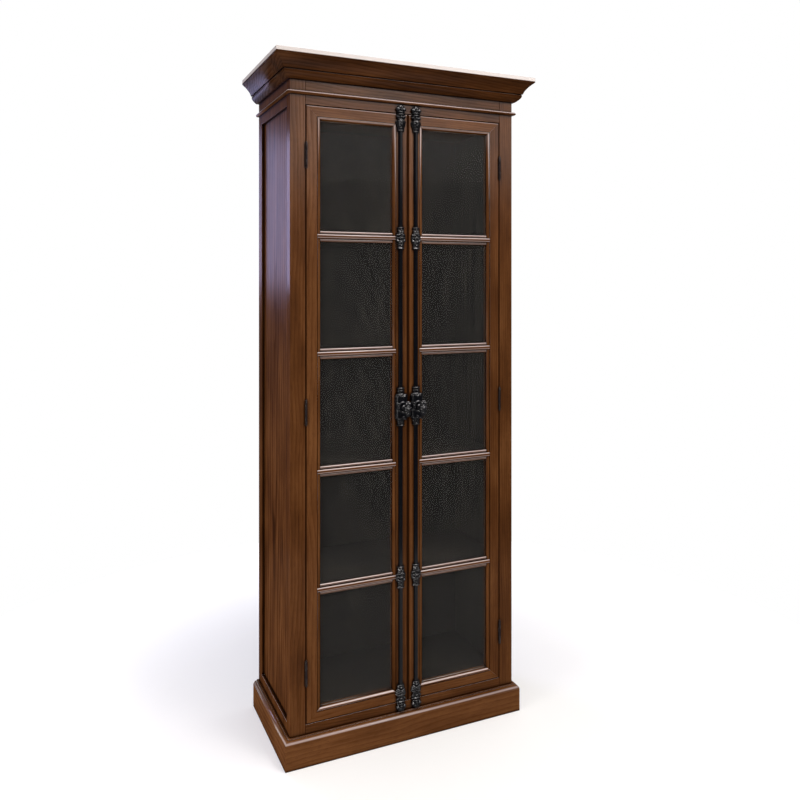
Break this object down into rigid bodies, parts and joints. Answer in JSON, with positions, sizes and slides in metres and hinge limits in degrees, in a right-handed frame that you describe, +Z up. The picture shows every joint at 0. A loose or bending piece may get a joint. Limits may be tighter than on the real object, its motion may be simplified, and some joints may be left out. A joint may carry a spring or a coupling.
{
  "type": "glazed bookcase",
  "caption": "Tall freestanding oak bookcase: moulded plinth and cornice, framed sides, mitred glazed doors with glazing bars on butt hinges, espagnolette bolts.",
  "frame": {"origin": "centre of the footprint of the overall box, at floor level", "axes": "+Z up; +X to the right seen from the front; the doors face -Y"},
  "size_m": [0.918, 0.46, 2.2],
  "materials": {
    "oak": "stained and satin lacquered, open grain",
    "dark_oak": "matt charcoal stain over open grain",
    "iron": "black, waxed",
    "glass": "clear, flat"
  },
  "bodies": {
    "carcass": {"plinth": "oak", "astragal": "oak", "cornice": "oak", "bottom_rail_floor": "oak", "frieze_rail_top": "oak", "back_panel": "dark_oak", "shelf_1": "dark_oak", "shelf_2": "dark_oak", "shelf_3": "dark_oak", "shelf_4": "dark_oak", "front_post_left": "oak", "front_post_right": "oak", "side_frame_left": "oak", "side_frame_right": "oak", "side_panel_left": "oak", "side_panel_right": "oak", "frame_hinge_1_left": "iron", "frame_hinge_1_right": "iron", "frame_hinge_2_left": "iron", "frame_hinge_2_right": "iron", "frame_hinge_3_left": "iron", "frame_hinge_3_right": "iron", "top_keeper_left": "iron", "top_keeper_right": "iron", "bottom_keeper_left": "iron", "bottom_keeper_right": "iron"},
    "door_left": {"hinge_stile_left": "oak", "meeting_stile_left": "oak", "door_top_rail_left": "oak", "door_bottom_rail_left": "oak", "glass_sheet_left": "glass", "glazing_bar_1_left": "oak", "glazing_bar_2_left": "oak", "glazing_bar_3_left": "oak", "glazing_bar_4_left": "oak", "gear_case_left": "iron", "top_guide_left": "iron", "bottom_guide_left": "iron", "upper_mid_guide_left": "iron", "lower_mid_guide_left": "iron"},
    "knob_left": {"knob_left": "iron"},
    "upper_bolt_left": {"upper_bolt_left": "iron"},
    "lower_bolt_left": {"lower_bolt_left": "iron"},
    "door_right": {"hinge_stile_right": "oak", "meeting_stile_right": "oak", "door_top_rail_right": "oak", "door_bottom_rail_right": "oak", "glass_sheet_right": "glass", "glazing_bar_1_right": "oak", "glazing_bar_2_right": "oak", "glazing_bar_3_right": "oak", "glazing_bar_4_right": "oak", "gear_case_right": "iron", "top_guide_right": "iron", "bottom_guide_right": "iron", "upper_mid_guide_right": "iron", "lower_mid_guide_right": "iron"},
    "knob_right": {"knob_right": "iron"},
    "upper_bolt_right": {"upper_bolt_right": "iron"},
    "lower_bolt_right": {"lower_bolt_right": "iron"}
  },
  "joints": [
    {"name": "door_hinge_left", "type": "hinge", "parent": "carcass", "child": "door_left", "pos_m": [-0.34875, -0.1639, 1.083], "axis": [0, 0, -1], "range_deg": [0, 170]},
    {"name": "knob_turn_left", "type": "hinge", "parent": "door_left", "child": "knob_left", "pos_m": [-0.0275, -0.19, 1.08684], "axis": [0, -1, 0], "range_deg": [0, 90]},
    {"name": "upper_bolt_slide_left", "type": "slide", "parent": "door_left", "child": "upper_bolt_left", "axis": [0, 0, 1], "range_m": [0, 0.01256]},
    {"name": "lower_bolt_slide_left", "type": "slide", "parent": "door_left", "child": "lower_bolt_left", "axis": [0, 0, -1], "range_m": [0, 0.01256]},
    {"name": "door_hinge_right", "type": "hinge", "parent": "carcass", "child": "door_right", "pos_m": [0.34875, -0.1639, 1.083], "axis": [0, 0, 1], "range_deg": [0, 170]},
    {"name": "knob_turn_right", "type": "hinge", "parent": "door_right", "child": "knob_right", "pos_m": [0.0275, -0.19, 1.08684], "axis": [0, 1, 0], "range_deg": [0, 90]},
    {"name": "upper_bolt_slide_right", "type": "slide", "parent": "door_right", "child": "upper_bolt_right", "axis": [0, 0, 1], "range_m": [0, 0.01256]},
    {"name": "lower_bolt_slide_right", "type": "slide", "parent": "door_right", "child": "lower_bolt_right", "axis": [0, 0, -1], "range_m": [0, 0.01256]}
  ],
  "couplings": [
    {"joint": "knob_turn_left", "follows": "upper_bolt_slide_left", "rad_per_m": 125},
    {"joint": "lower_bolt_slide_left", "follows": "upper_bolt_slide_left", "ratio": 1},
    {"joint": "knob_turn_right", "follows": "upper_bolt_slide_right", "rad_per_m": 125},
    {"joint": "lower_bolt_slide_right", "follows": "upper_bolt_slide_right", "ratio": 1}
  ]
}
